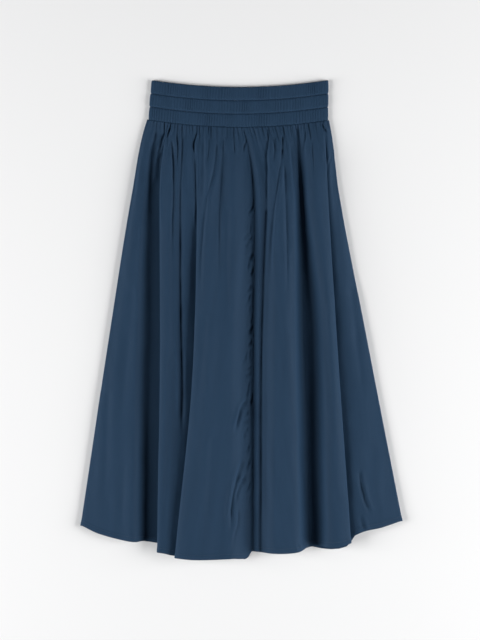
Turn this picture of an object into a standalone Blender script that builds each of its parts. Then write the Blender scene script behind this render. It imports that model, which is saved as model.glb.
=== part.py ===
"""Gathered midi skirt, laid flat on its back with the front up.

An elastic waistband of three channels, a front cut as two panels that meet at a
centre seam, and a back cut in one piece. X runs across the skirt, +Y from the hem
to the waist and +Z up from the surface that it lies on. The origin is on that
surface, under the middle of the skirt. Sizes are in millimetres, and become
metres as the meshes are made.
"""
import math

import bpy

MILLIMETRE = 0.001

# Whole skirt
HEM_LOWEST_Y = -419.1

# Cloth and seams
CLOTH_WALL = 1.0
SEAM_GAP = 0.3
GATHER_LEAN = 0.3

# Waistband: two layers of cloth over elastic, pressed flat on each other
BAND_HEIGHT = 70.0
BAND_TOP_WIDTH = 308.0
BAND_TOP_CENTRE = -3.0
BAND_SEAM_WIDTH = 313.0
BAND_SEAM_CENTRE = -5.5
BAND_TOP_MIDDLE_Y = 407.6
BAND_SAG = 12.2
BAND_WALL = 2.4
BAND_INNER_GAP = 0.6
CHANNELS = 3
CHANNEL_PUFF = 0.9
CHANNEL_PROFILE = ((0.0, 0.0), (0.28, 0.9), (0.72, 0.9))
RIBS = 68
RIB_RISE = 0.42
BAND_TURN_STRIPS = 4
BAND_UNDERSIDE_STRIPS = 24
# Angles round the band's two turned edges at which the puff ends and is full
BAND_RIGHT_TURN = (-60.0, 20.0)
BAND_LEFT_TURN = (240.0, 160.0)

# Sides, where the front and back panels meet in a soft roll
SIDE_SEAM_AT_BAND = 2.7
SIDE_SEAM_AT_HEM = 3.7
SIDE_STRAIGHT = 0.7
SIDE_ROLL_AT_BAND = 1.25
SIDE_ROLL_AT_HEM = 2.9
SIDE_WIDENS_BY = 0.2
ROLL_STRIPS = 3
SIDE_TO_FOLD_STRIPS = 3

# Heights at the band seam, and the gathers there
FRONT_BAND_HEIGHT = 4.9
BACK_BAND_HEIGHT = 1.35
BACK_GATHER_RISE = 0.85
GATHER_STEEPNESS = 0.42
GATHER_MOST = 1.35
GATHER_SHORTEST = 0.07
GATHER_LONGEST = 0.26
GATHER_FADE_POWER = 1.5
GATHER_PHASE_STEP = 2.4
GATHER_DRIFT = 0.7
GATHER_DRIFT_STEP = 1.7
BACK_GATHER_LENGTH = 0.17
FRONT_REST_FADE = 0.27
TURN_SPREAD = 1.2
TURN_FULL_AT = 0.12
TURN_STRIPS = 2

# Shares of the way from the band seam to the hem at which the folds are given
LEVELS = (0.0, 0.18, 0.51, 1.0)
FANNING_AT_BAND = 1.7
FRONT_ROWS = (0.0, 0.014, 0.035, 0.07, 0.12, 0.18, 0.25, 0.33, 0.42, 0.51, 0.61, 0.71, 0.81, 0.91, 1.0)
BACK_ROWS = (0.0, 0.035, 0.08, 0.14, 0.2, 0.28, 0.37, 0.48, 0.61, 0.8, 1.0)

# Outline of the sides at LEVELS, and how far their hem corners lie above the hem's lowest point
LEFT_SIDE = (-164.5, -191.0, -228.5, -281.0)
RIGHT_SIDE = (152.5, 170.0, 214.0, 281.0)
LEFT_CORNER_LIFT = 60.0
RIGHT_CORNER_LIFT = 68.0

# Fold lines of the front, from the left side to the right one, which run from the band to the hem.
# name, x at LEVELS, height above the surface at the last three, rise of the cloth where it turns back
# on itself (none where it doesn't, less than none where it turns downwards), lift of the hem, and
# strips to the next line
LEFT_FRONT_FOLDS = (
    ("left_rise", (-157, -183, -213, -252), (11, 12, 13), 0, 48, 3),
    ("left_fall", (-152, -176, -191, -207), (12, 14, 16), 0, 36, 3),
    ("left_slope", (-148, -171, -182, -187), (11, 13, 15), 0, 33, 2),
    ("valley_a", (-144, -161, -167, -170), (2, 2, 2), 0, 33, 3),
    ("tuck_a", (-137, -133, -128, -127), (4, 4, 4), 4, 26, 2),
    ("edge_a", (-128, -142, -141, -146), (13, 16, 17), 5, 14, 3),
    ("crest_2", (-117, -128, -128, -133), (19, 23, 24), 0, 10, 3),
    ("dip_2", (-108, -112, -111, -121), (15, 17, 22), 0, 7, 2),
    ("strip", (-94, -96, -96, -107), (13, 13, 18.5), 0, 6, 3),
    ("tuck_b", (-84, -68, -70, -91), (9, 12, 16), 4, 5, 3),
    ("edge_b", (-73, -75, -78, -116), (17.5, 23, 26), 6, 3, 4),
    ("crest_3", (-57, -58, -60, -86), (25, 32, 34), 0, 0, 4),
    ("crease_3", (-36, -36, -39, -50), (20, 30, 33), 0, 0, 4),
    ("crest_3b", (-17, -13, -15, -18), (24, 30, 32), 0, 2, 4),
    ("valley_3", (-4, 9, 8, 8), (14, 15, 16), 0, 6, 2),
)
CENTRE_SEAM_X = (4, 22, 19, 18)
CENTRE_SEAM_HEIGHTS = (FRONT_BAND_HEIGHT, 12, 12.5, 13)
CENTRE_SEAM_LIFT = 13
RIGHT_FRONT_FOLDS = (
    ("narrow", (11, 32, 27, 26), (18, 20, 21), 0, 13, 2),
    ("line_4", (18, 43, 35, 33), (15, 17, 18), 0, 13, 3),
    ("crest_4", (36, 60, 57, 55), (24, 29, 31), 0, 10, 4),
    ("stripe_4", (54, 79, 80, 79), (21, 29, 31), 0, 10, 3),
    ("edge_4", (78, 92, 96, 103), (18, 22, 23), 0, 16, 3),
    ("valley_d", (92, 101, 107, 116), (2, 2, 2), 0, 22, 2),
    ("floor_d", (99, 107, 124, 134), (2, 2, 2), 0, 25, 3),
    ("edge_5", (108, 119, 143, 152), (18, 22, 23), 0, 25, 3),
    ("crest_5", (120, 134, 155, 172), (23, 27, 28), 0, 24, 3),
    ("edge_c", (132, 150, 165, 192), (15, 18, 19), -5, 31, 3),
    ("tuck_c", (138, 139, 148, 160), (6, 8, 10), -4, 21, 3),
    ("rise_6", (142, 153, 172, 206), (9, 12, 14), 0, 48, 3),
    ("fall_6", (147, 162, 195, 246), (10, 12, 13), 0, 58, 3),
)
CENTRE_SEAM_FLAT_AT_BAND = 1.2
CENTRE_SEAM_FLAT = 2.4
CENTRE_SEAM_WIDENS_BY = 0.1
SEAM_STRIPS = 1
SEAM_TO_FOLD_STRIPS = 2

# Folds of the back, three layers lying flat under the raised folds of the front.
# name, middle at LEVELS, reach of each hidden layer at the middle and hem, side that it leans to
BACK_FOLDS = (
    ("under_left", (-150, -176, -199, -222), (8, 15), 1),
    ("under_3", (-50, -36, -40, -45), (12, 18), 1),
    ("under_4", (60, 70, 72, 72), (11, 15), -1),
    ("under_right", (140, 156, 186, 226), (6, 14), -1),
)
# Across one back fold: name, x in reaches from its middle, x in millimetres, height, strips to the next
BACK_FOLD_SHAPE = (
    ("floor_in", -1.3, -8.0, 0.0, 2),
    ("tuck_low", 1.0, -1.0, 0.0, 2),
    ("tuck_high", 1.0, -1.0, 2.4, 2),
    ("edge_low", -1.0, 0.5, 3.2, 2),
    ("edge_high", -1.0, 0.5, 5.6, 2),
    ("crest", 0.9, 1.0, 5.4, 3),
    ("floor_out", 1.6, 10.0, 0.0, 4),
)
BACK_FOLD_OPEN = 2.8
BACK_FOLD_RISE = (0.12, 0.3)
BACK_FOLD_CLOSE = (0.26, 0.62)
BACK_PLAIN_STRIPS = 4
# Lift of the back's hem across it: x and lift. It shows a little below the front beside the centre seam.
BACK_HEM = (
    (-281, 60), (-252, 51), (-205, 42), (-160, 37), (-115, 22), (-50, 9),
    (0, 2), (40, 15), (106, 22), (160, 33), (205, 52), (246, 61), (281, 68),
)

CLOTH_COLOUR = (0.017, 0.043, 0.083, 1.0)
BAND_COLOUR = (0.016, 0.041, 0.079, 1.0)
CLOTH_ROUGHNESS = 0.5

GROUND = CLOTH_WALL / 2


def smooth_share(start, end, value):
    """How far value is from start to end, eased at both."""
    share = min(max((value - start) / (end - start), 0.0), 1.0)
    return share * share * (3.0 - 2.0 * share)


def slope_at(values, index):
    """Slope of a curve through values at LEVELS, level where it turns and steeper at the band."""
    last = len(values) - 1
    if index == 0:
        return FANNING_AT_BAND * (values[1] - values[0]) / (LEVELS[1] - LEVELS[0])
    if index == last:
        return (values[last] - values[last - 1]) / (LEVELS[last] - LEVELS[last - 1])
    before = (values[index] - values[index - 1]) / (LEVELS[index] - LEVELS[index - 1])
    after = (values[index + 1] - values[index]) / (LEVELS[index + 1] - LEVELS[index])
    if before * after <= 0.0:
        return 0.0
    return 2.0 * before * after / (before + after)


def down_the_skirt(values, way):
    """Value at a share of the way from the band seam to the hem, from those at LEVELS."""
    index = 0
    while index < len(LEVELS) - 2 and way > LEVELS[index + 1]:
        index += 1
    span = LEVELS[index + 1] - LEVELS[index]
    share = (way - LEVELS[index]) / span
    start_slope = slope_at(values, index) * span
    end_slope = slope_at(values, index + 1) * span
    square = share * share
    cube = square * share
    return (
        (2.0 * cube - 3.0 * square + 1.0) * values[index]
        + (cube - 2.0 * square + share) * start_slope
        + (3.0 * square - 2.0 * cube) * values[index + 1]
        + (cube - square) * end_slope
    )


def blend(first, second, share):
    """Point between two points."""
    return tuple(a + (b - a) * share for a, b in zip(first, second))


def curve_point(before, start, end, after, share):
    """Point on a smooth curve from start to end that takes sharp turns without a loop."""
    knots = [0.0]
    for first, second in ((before, start), (start, end), (end, after)):
        knots.append(knots[-1] + max(math.dist(first[:2], second[:2]), 1e-3) ** 0.5)
    at = knots[1] + (knots[2] - knots[1]) * share
    row = [before, start, end, after]
    for reach in (1, 2):
        row = [
            blend(row[i], row[i + 1], (at - knots[i]) / (knots[i + reach] - knots[i]))
            for i in range(len(row) - 1)
        ]
    return blend(row[0], row[1], share)


def band_bow(x):
    """How far a band line rises above its middle, at a place across it."""
    return BAND_SAG * ((x - BAND_TOP_CENTRE) / (BAND_TOP_WIDTH / 2)) ** 2


def band_line_y(x, rise):
    """Y of a line along the band, at a height above the band's lower edge."""
    return BAND_TOP_MIDDLE_Y - BAND_HEIGHT + rise + band_bow(x)


def side_roll(edge_x, inward, way, upper):
    """Knots of the quarter turn at one side, from the seam inwards."""
    widened = smooth_share(0.0, SIDE_WIDENS_BY, way)
    seam = SIDE_SEAM_AT_BAND + (SIDE_SEAM_AT_HEM - SIDE_SEAM_AT_BAND) * widened
    roll = SIDE_ROLL_AT_BAND + (SIDE_ROLL_AT_HEM - SIDE_ROLL_AT_BAND) * widened
    if upper:
        start = seam + SEAM_GAP / 2
        direction = 1.0
    else:
        start = seam - SEAM_GAP / 2
        direction = -1.0
        roll = start - SIDE_STRAIGHT - GROUND
    straight_end = start + direction * SIDE_STRAIGHT
    quarter = 1.0 - math.cos(math.radians(45.0))
    return [
        (edge_x, start),
        (edge_x, straight_end),
        (edge_x + inward * roll * quarter, straight_end + direction * roll * (1.0 - quarter)),
        (edge_x + inward * roll, straight_end + direction * roll),
    ]


def section(knots, strips):
    """Points across a panel, on a smooth curve through the knots."""
    points = []
    for index, count in enumerate(strips):
        start = knots[index]
        end = knots[index + 1]
        if index > 0:
            before = knots[index - 1]
        else:
            before = blend(end, start, 2.0)
        if index + 2 < len(knots):
            after = knots[index + 2]
        else:
            after = blend(start, end, 2.0)
        for step in range(count):
            points.append(curve_point(before, start, end, after, step / count))
    points.append(knots[-1])
    return points


def gather_length(number):
    """How far a gather runs from the band, as a share of the way down, uneven from one to the next."""
    drift = GATHER_DRIFT * math.sin(GATHER_DRIFT_STEP * number)
    uneven = (1.0 + math.sin(GATHER_PHASE_STEP * number + drift)) / 2
    return GATHER_SHORTEST + (GATHER_LONGEST - GATHER_SHORTEST) * uneven


def gather_fade(length, way):
    """What is left of a gather at a share of the way down."""
    return max(1.0 - way / length, 0.0) ** GATHER_FADE_POWER


def front_rest_height(way):
    """Lowest place of the front cloth's middle, just above the back cloth and its gathers."""
    gathers = (BACK_BAND_HEIGHT - GROUND + BACK_GATHER_RISE) * max(1.0 - way / FRONT_REST_FADE, 0.0)
    return CLOTH_WALL + gathers + SEAM_GAP + CLOTH_WALL / 2


def fold_knots(way, folds):
    """Knots on the fold lines at a share of the way down: x, height and hem lift."""
    turned = smooth_share(0.0, TURN_FULL_AT, way)
    knots = []
    for _, places, heights, turn, lift, _ in folds:
        x = down_the_skirt(places, way)
        height = down_the_skirt((FRONT_BAND_HEIGHT,) + heights, way)
        if turn:
            spread = TURN_SPREAD * (1.0 - turned)
            knots.append((x - spread, height - turn * turned / 2, lift))
            knots.append((x + spread, height + turn * turned / 2, lift))
        else:
            knots.append((x, height, lift))
    return knots


def fold_strips(folds):
    """Strips after each of the knots on the fold lines."""
    strips = []
    for _, _, _, turn, _, count in folds:
        if turn:
            strips.append(TURN_STRIPS)
        strips.append(count)
    return strips


def seam_knots(way, side):
    """The level strip of cloth beside the centre seam, from the seam to the panel."""
    x = down_the_skirt(CENTRE_SEAM_X, way)
    height = down_the_skirt(CENTRE_SEAM_HEIGHTS, way)
    widened = smooth_share(0.0, CENTRE_SEAM_WIDENS_BY, way)
    flat = CENTRE_SEAM_FLAT_AT_BAND + (CENTRE_SEAM_FLAT - CENTRE_SEAM_FLAT_AT_BAND) * widened
    return [(x + side * reach, height, CENTRE_SEAM_LIFT) for reach in (SEAM_GAP / 2, flat)]


def left_front_section(way):
    """Points across the left front panel, from the side to the centre seam."""
    edge = down_the_skirt(LEFT_SIDE, way)
    roll = [(x, z, LEFT_CORNER_LIFT) for x, z in side_roll(edge, 1.0, way, True)]
    knots = roll + fold_knots(way, LEFT_FRONT_FOLDS) + seam_knots(way, -1.0)[::-1]
    strips = [1] * ROLL_STRIPS + [SIDE_TO_FOLD_STRIPS] + fold_strips(LEFT_FRONT_FOLDS)
    return section(knots, strips + [SEAM_STRIPS])


def right_front_section(way):
    """Points across the right front panel, from the centre seam to the side."""
    edge = down_the_skirt(RIGHT_SIDE, way)
    roll = [(x, z, RIGHT_CORNER_LIFT) for x, z in side_roll(edge, -1.0, way, True)]
    knots = seam_knots(way, 1.0) + fold_knots(way, RIGHT_FRONT_FOLDS) + roll[::-1]
    strips = [SEAM_STRIPS, SEAM_TO_FOLD_STRIPS] + fold_strips(RIGHT_FRONT_FOLDS)
    return section(knots, strips + [1] * ROLL_STRIPS)


def front_rows(section_at, first_plain, last_plain, first_gather):
    """Grid of points of a front panel, gathered between the plain strips at its two ends."""
    top = section_at(0.0)
    rows = []
    for way in FRONT_ROWS:
        row = []
        points = section_at(way)
        for column, (x, z, lift) in enumerate(points):
            if first_plain < column < len(top) - 1 - last_plain:
                room = min(line[column + 1][0] - line[column - 1][0] for line in (top, points)) / 2
                height = min(GATHER_STEEPNESS * max(room, 0.0), GATHER_MOST)
                length = gather_length(first_gather + column // 2)
                z += (-1) ** column * height * gather_fade(length, way)
                z = max(z, front_rest_height(way))
            seam_y = band_line_y(top[column][0], -SEAM_GAP - GATHER_LEAN)
            hem_y = HEM_LOWEST_Y + lift
            row.append((x, seam_y + (hem_y - seam_y) * way, z))
        rows.append(row)
    return rows


def back_section(way):
    """Points across the back panel, whose folds rise and then close, at a share of the way down."""
    risen = smooth_share(*BACK_FOLD_RISE, way)
    closed = smooth_share(*BACK_FOLD_CLOSE, way)
    half = (len(BACK_FOLD_SHAPE) - 1) / 2
    knots = side_roll(down_the_skirt(LEFT_SIDE, way), 1.0, way, False)
    strips = [1] * ROLL_STRIPS + [BACK_PLAIN_STRIPS]
    for _, middles, reaches, lean in BACK_FOLDS:
        middle = down_the_skirt(middles, way)
        reach = down_the_skirt((reaches[0], reaches[0]) + reaches, way)
        for index, (_, place, offset, height, count) in enumerate(BACK_FOLD_SHAPE[::lean]):
            open_x = (index - half) * BACK_FOLD_OPEN
            closed_x = lean * (place * reach + offset)
            knots.append((middle + open_x + (closed_x - open_x) * closed, GROUND + risen * height))
            strips.append(count)
        strips[-1] = BACK_PLAIN_STRIPS
    knots += side_roll(down_the_skirt(RIGHT_SIDE, way), -1.0, way, False)[::-1]
    return section(knots, strips + [1] * ROLL_STRIPS)


def back_hem_y(x):
    """Y of the back's hem at a place across it."""
    index = 0
    while index < len(BACK_HEM) - 2 and x > BACK_HEM[index + 1][0]:
        index += 1
    (start, start_lift), (end, end_lift) = BACK_HEM[index:index + 2]
    share = min(max((x - start) / (end - start), 0.0), 1.0)
    return HEM_LOWEST_Y + start_lift + (end_lift - start_lift) * share


def back_rows():
    """Grid of points of the back panel, evenly gathered at the band and flat on the surface below it."""
    hem = back_section(1.0)
    total = len(hem) - 1
    rows = []
    for way in BACK_ROWS:
        placed = smooth_share(0.0, LEVELS[1], way)
        left = down_the_skirt(LEFT_SIDE, way)
        width = down_the_skirt(RIGHT_SIDE, way) - left
        fade = gather_fade(BACK_GATHER_LENGTH, way)
        row = []
        for column, (x, z) in enumerate(back_section(way)):
            top_x = LEFT_SIDE[0] + (RIGHT_SIDE[0] - LEFT_SIDE[0]) * column / total
            if ROLL_STRIPS < column < total - ROLL_STRIPS:
                even_x = left + width * column / total
                x = even_x + (x - even_x) * placed
                gather = BACK_BAND_HEIGHT - GROUND + (-1) ** column * BACK_GATHER_RISE
                z = max(z + gather * fade, GROUND)
            seam_y = band_line_y(top_x, -SEAM_GAP - GATHER_LEAN)
            hem_y = back_hem_y(hem[column][0])
            row.append((x, seam_y + (hem_y - seam_y) * way, z))
        rows.append(row)
    return rows


def principled(name, colour, roughness):
    """A plain cloth material."""
    material = bpy.data.materials.new(name)
    material.use_nodes = True
    shader = material.node_tree.nodes["Principled BSDF"]
    shader.inputs["Base Color"].default_value = colour
    shader.inputs["Roughness"].default_value = roughness
    shader.inputs["Metallic"].default_value = 0.0
    material.diffuse_color = colour
    return material


def mesh_object(name, vertices, faces, material, collection):
    """A smooth-shaded object with its points turned from millimetres to metres."""
    mesh = bpy.data.meshes.new(name)
    mesh.from_pydata([tuple(value * MILLIMETRE for value in point) for point in vertices], [], faces)
    mesh.update()
    mesh.shade_smooth()
    mesh.materials.append(material)
    made = bpy.data.objects.new(name, mesh)
    collection.objects.link(made)
    return made


def panel(name, rows, material, collection):
    """A wall of cloth on a grid of points whose rows run from the band to the hem."""
    width = len(rows[0])
    vertices = [point for row in rows for point in row]
    faces = []
    for row in range(len(rows) - 1):
        for column in range(width - 1):
            corner = row * width + column
            faces.append((corner, corner + width, corner + width + 1, corner + 1))
    made = mesh_object(name, vertices, faces, material, collection)
    wall = made.modifiers.new("cloth_wall", "SOLIDIFY")
    wall.thickness = CLOTH_WALL * MILLIMETRE
    wall.offset = 0.0
    wall.use_even_offset = False
    return made


def band_stations():
    """Places round the band's ring: share across, direction out, relief and rib of each."""
    stations = []
    top_strips = 2 * RIBS
    for index in range(top_strips + 1):
        stations.append((index / top_strips, 90.0, 1.0, (-1.0) ** index))
    for index in range(1, BAND_TURN_STRIPS):
        angle = 90.0 - 180.0 * index / BAND_TURN_STRIPS
        stations.append((1.0, angle, smooth_share(*BAND_RIGHT_TURN, angle), 0.0))
    for index in range(BAND_UNDERSIDE_STRIPS + 1):
        stations.append((1.0 - index / BAND_UNDERSIDE_STRIPS, -90.0, 0.0, 0.0))
    for index in range(1, BAND_TURN_STRIPS):
        angle = 270.0 - 180.0 * index / BAND_TURN_STRIPS
        stations.append((0.0, angle, smooth_share(*BAND_LEFT_TURN, angle), 0.0))
    return stations


def band_ring(rise, radius, puff, rib_rise):
    """Points of one ring of the band, at a height above its lower edge."""
    share_up = rise / BAND_HEIGHT
    width = BAND_SEAM_WIDTH + (BAND_TOP_WIDTH - BAND_SEAM_WIDTH) * share_up
    centre = BAND_SEAM_CENTRE + (BAND_TOP_CENTRE - BAND_SEAM_CENTRE) * share_up
    half_layers = BAND_WALL + BAND_INNER_GAP / 2
    spine = width - 2.0 * half_layers
    points = []
    for across, angle, relief, rib in band_stations():
        outward = radius + relief * (puff + rib * rib_rise)
        x = centre + spine * (across - 0.5)
        turned = math.radians(angle)
        points.append((
            x + outward * math.cos(turned),
            band_line_y(x, rise),
            half_layers + outward * math.sin(turned),
        ))
    return points


def waistband(material, collection):
    """A ring pressed flat: ribbed, puffed channels over the front, plain inside and underneath."""
    levels = []
    for channel in range(CHANNELS):
        for place, puff in CHANNEL_PROFILE:
            levels.append(((channel + place) * BAND_HEIGHT / CHANNELS, puff))
    levels.append((BAND_HEIGHT, 0.0))
    outer = BAND_WALL + BAND_INNER_GAP / 2
    rings = [band_ring(rise, outer, puff * CHANNEL_PUFF, puff * RIB_RISE) for rise, puff in levels]
    rings.append(band_ring(BAND_HEIGHT, BAND_INNER_GAP / 2, 0.0, 0.0))
    rings.append(band_ring(0.0, BAND_INNER_GAP / 2, 0.0, 0.0))
    count = len(rings[0])
    faces = []
    for ring in range(len(rings)):
        following = (ring + 1) % len(rings)
        for place in range(count):
            beside = (place + 1) % count
            faces.append((
                ring * count + place,
                ring * count + beside,
                following * count + beside,
                following * count + place,
            ))
    vertices = [point for ring in rings for point in ring]
    return mesh_object("waistband", vertices, faces, material, collection)


def main():
    """Builds the skirt's four pieces."""
    for old in list(bpy.data.objects):
        bpy.data.objects.remove(old, do_unlink=True)
    skirt = bpy.data.collections.new("gathered_midi_skirt")
    bpy.context.scene.collection.children.link(skirt)
    waistband(principled("waistband_cloth", BAND_COLOUR, CLOTH_ROUGHNESS), skirt)
    left_rows = front_rows(left_front_section, ROLL_STRIPS, SEAM_STRIPS, 0)
    right_rows = front_rows(right_front_section, SEAM_STRIPS, ROLL_STRIPS, len(left_rows[0]) // 2)
    front_left = principled("front_left_cloth", CLOTH_COLOUR, CLOTH_ROUGHNESS)
    front_right = principled("front_right_cloth", CLOTH_COLOUR, CLOTH_ROUGHNESS)
    back = principled("back_cloth", CLOTH_COLOUR, CLOTH_ROUGHNESS)
    panel("front_left_panel", left_rows, front_left, skirt)
    panel("front_right_panel", right_rows, front_right, skirt)
    panel("back_panel", back_rows(), back, skirt)


main()
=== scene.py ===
"""Looks of the gathered midi skirt, laid flat on a pale floor with its front up.

Sizes in the tables are millimetres. X runs across the skirt, +Y from the hem to the waist and +Z up
from the floor that it lies on. The way is the share of the cloth's length down from the band.
"""
import math

import bpy
import numpy as np
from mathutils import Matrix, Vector
from numpy.linalg import norm


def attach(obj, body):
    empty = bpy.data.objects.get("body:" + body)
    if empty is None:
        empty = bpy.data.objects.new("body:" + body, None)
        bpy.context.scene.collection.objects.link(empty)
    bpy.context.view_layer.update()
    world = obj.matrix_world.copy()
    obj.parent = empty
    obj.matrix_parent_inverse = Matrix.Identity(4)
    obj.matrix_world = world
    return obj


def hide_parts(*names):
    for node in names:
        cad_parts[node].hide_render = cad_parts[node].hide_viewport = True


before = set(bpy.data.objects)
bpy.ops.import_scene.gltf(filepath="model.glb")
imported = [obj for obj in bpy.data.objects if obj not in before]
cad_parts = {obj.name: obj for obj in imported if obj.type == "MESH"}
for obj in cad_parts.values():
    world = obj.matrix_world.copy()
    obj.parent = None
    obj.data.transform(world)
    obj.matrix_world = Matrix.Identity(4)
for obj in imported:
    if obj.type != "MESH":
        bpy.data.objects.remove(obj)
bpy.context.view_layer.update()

MILLIMETRE = 0.001

# Outline, as the solid's
HEM_LOWEST_Y = -419.1
SEAM_TO_HEM = 757.0
BAND_HEIGHT = 70.0
BAND_TOP_WIDTH = 308.0
BAND_TOP_CENTRE = -3.0
BAND_SEAM_WIDTH = 313.0
BAND_SEAM_CENTRE = -5.5
BAND_TOP_MIDDLE_Y = 407.6
BAND_SAG = 12.2
BAND_SEAM_GAP = 0.15

# Waistband: its wall, channels, ribs, and the grooves of its two lines of stitching
BAND_WALL = 2.4
BAND_INNER_GAP = 0.6
CHANNELS = 3
CHANNEL_PUFF = 1.0
CHANNEL_FULLNESS = 0.4
RIBS = 68
RIB_RISE = 0.45
UNDER_RIB_RISE = 0.2
FRONT_RIB_STEPS = 8
UNDER_RIB_STEPS = 4
GROOVE_DEPTH = 1.2
GROOVE_HALF_WIDTH = 1.0
TOP_ROUNDING = 1.0
TOP_EDGE_WAVE = 0.25
TOP_EDGE_FROM = 0.97
# Angles round the band's turned edges between which the puff of the front fades in
BAND_TURN_ANGLES = (-60.0, 30.0)
# Rings of one channel, as shares of its height
RING_SHARES = (0.0, 0.025, 0.05, 0.09, 0.15, 0.24, 0.36, 0.5, 0.64, 0.76, 0.85, 0.91, 0.95, 0.975)

# Sides, and heights at the band's seam
SIDE_SEAM_AT_BAND = 2.7
SIDE_SEAM_AT_HEM = 3.7
SIDE_STRAIGHT = 0.7
SIDE_ROLL_AT_BAND = 1.25
SIDE_ROLL_AT_HEM = 2.9
SIDE_WIDENS_BY = 0.2
FRONT_BAND_HEIGHT = 4.9
BACK_BAND_HEIGHT = 1.35

# Where a line of the front turns back on itself: its spread at the band, and the way of its turn
TURN_SPREAD = 1.2
EARLY_TURN = (0.0, 0.12)
LATE_TURN = (0.12, 0.34)
LATE_FOLDS = ("tuck_b", "edge_b")

# Levels down the skirt at which the tables give a place
LEVELS = np.array((0.0, 0.18, 0.51, 1.0))
FANNING_AT_BAND = 1.7
LEFT_SIDE = (-164.5, -191.0, -228.5, -281.0)
RIGHT_SIDE = (152.5, 170.0, 214.0, 281.0)
LEFT_CORNER_LIFT = 60.0
RIGHT_CORNER_LIFT = 68.0

# Fold lines of the front, from the band to the hem: name, x at LEVELS, height at the last three,
# rise where the cloth turns back on itself, lift of the hem, and columns to the next line
LEFT_FRONT_FOLDS = (
    ("left_rise", (-158.5, -183, -213, -252), (11, 12, 13), 0, 48, 13),
    ("left_fall", (-155, -176, -191, -207), (12, 15, 19), 0, 36, 13),
    ("left_slope", (-152.5, -171, -182, -187), (11, 14, 19.5), 0, 33, 9),
    ("valley_a", (-149, -161, -167, -170), (2, 2, 2), 0, 33, 10),
    ("tuck_a", (-138, -133, -128, -127), (7.5, 4, 4), 4, 26, 7),
    ("edge_a", (-128, -142, -141, -146), (13, 16.5, 19), 5, 15, 12),
    ("crest_2", (-117, -128, -128, -133), (19, 23, 24), 0, 13, 12),
    ("dip_2", (-108, -112, -111, -121), (15, 17, 22), 0, 10, 14),
    ("strip", (-94, -96, -96, -107), (16.5, 15.5, 18.5), 0, 9, 12),
    ("tuck_b", (-84, -78, -74, -92), (15, 13.5, 16.5), 4, 7, 9),
    ("edge_b", (-73, -76, -81.5, -115), (17, 22.5, 26), 5, 6, 16),
    ("crest_3", (-57, -58, -60, -86), (25, 32, 34), 0, 3.5, 18),
    ("crease_3", (-36, -36, -39, -50), (20, 30, 33), 0, 3.5, 18),
    ("crest_3b", (-17, -13, -15, -18), (24, 30, 32), 0, 5, 20),
    ("valley_3", (-4, 9, 9, 10), (13, 13, 14), 0, 6, 12),
)
CENTRE_SEAM_X = (4, 22.5, 20.5, 20)
CENTRE_SEAM_HEIGHTS = (FRONT_BAND_HEIGHT, 8.5, 9, 11)
CENTRE_SEAM_LIFT = 16
CENTRE_SEAM_EDGE = 0.05
CENTRE_SEAM_FLAT = 2.0
CENTRE_SEAM_WIDENS_BY = 0.1
RIGHT_FRONT_FOLDS = (
    ("narrow", (11, 32, 28.5, 28), (17, 18, 18.5), 0, 16, 10),
    ("line_4", (18, 43, 37, 35), (15, 16, 17), 0, 15, 16),
    ("crest_4", (36, 60, 57, 55), (24, 29, 31), 0, 14, 18),
    ("stripe_4", (54, 79, 80, 79), (21, 29, 31), 0, 14, 16),
    ("edge_4", (78, 91, 92, 98.5), (18, 24.5, 26.5), 0, 16, 14),
    ("valley_d", (92, 101, 107, 116), (2, 2, 2), 0, 22, 9),
    ("floor_d", (99, 107, 126.5, 134), (2, 2, 2), 0, 25, 14),
    ("edge_5", (108, 119, 144.5, 152), (18, 24, 26), 0, 24.5, 13),
    ("crest_5", (120, 134, 155, 172), (23, 27.5, 29), 0, 26, 14),
    ("edge_c", (143, 150, 165, 190), (16.5, 18, 20), -4.5, 31, 12),
    ("tuck_c", (146, 141, 148, 160), (14.5, 9.5, 14), -4, 21, 13),
    ("rise_6", (148.3, 155, 172, 206), (13.5, 13.5, 16), 0, 48, 14),
    ("fall_6", (150, 162, 195, 246), (10, 12, 13), 0, 58, 13),
)
SIDE_TO_FOLD_COLUMNS = 13
SEAM_TO_FOLD_COLUMNS = 9
TURN_COLUMNS = 6
ROLL_COLUMNS = 3
SEAM_COLUMNS = 4

# Folds of the back: name, middle at LEVELS, reach of a layer at the middle and hem, side of lean
BACK_FOLDS = (
    ("under_left", (-150, -176, -199, -222), (8, 15), 1),
    ("under_3", (-50, -36, -40, -45), (12, 18), 1),
    ("under_4", (60, 70, 72, 72), (11, 15), -1),
    ("under_right", (140, 156, 186, 226), (6, 14), -1),
)
# Across one back fold: name, x in reaches and in millimetres, height, and columns to the next
BACK_FOLD_SHAPE = (
    ("floor_in", -1.3, -8.0, 0.0, 4),
    ("tuck_low", 1.0, -1.0, 0.0, 4),
    ("tuck_high", 1.0, -1.0, 2.4, 4),
    ("edge_low", -1.0, 0.5, 3.2, 4),
    ("edge_high", -1.0, 0.5, 5.6, 4),
    ("crest", 0.9, 1.0, 5.4, 4),
    ("floor_out", 1.6, 10.0, 0.0, 14),
)
BACK_FOLD_OPEN = 2.8
BACK_FOLD_RISE = (0.12, 0.3)
BACK_FOLD_CLOSE = (0.26, 0.62)
BACK_PLAIN_COLUMNS = 14
BACK_GATHERS = 36
BACK_GATHER_RISE = 0.85
BACK_GATHER_LENGTH = 0.17
BACK_GATHER_FADE = 1.5
BACK_SWELL = 0.45
BACK_SWELLS_FROM = (0.05, 0.2)
# Lift of the back's hem across it: x and lift
BACK_HEM = (
    (-281, 60), (-252, 51), (-205, 42), (-160, 37), (-115, 22), (-50, 11), (-16, 7), (-7, 2.5),
    (6, 1), (12, 4), (18, 17), (40, 20), (106, 24), (128, 23), (137, 20.5), (155, 18.5),
    (172, 19.5), (186, 24), (193, 34), (205, 52), (246, 61), (281, 68),
)

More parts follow.
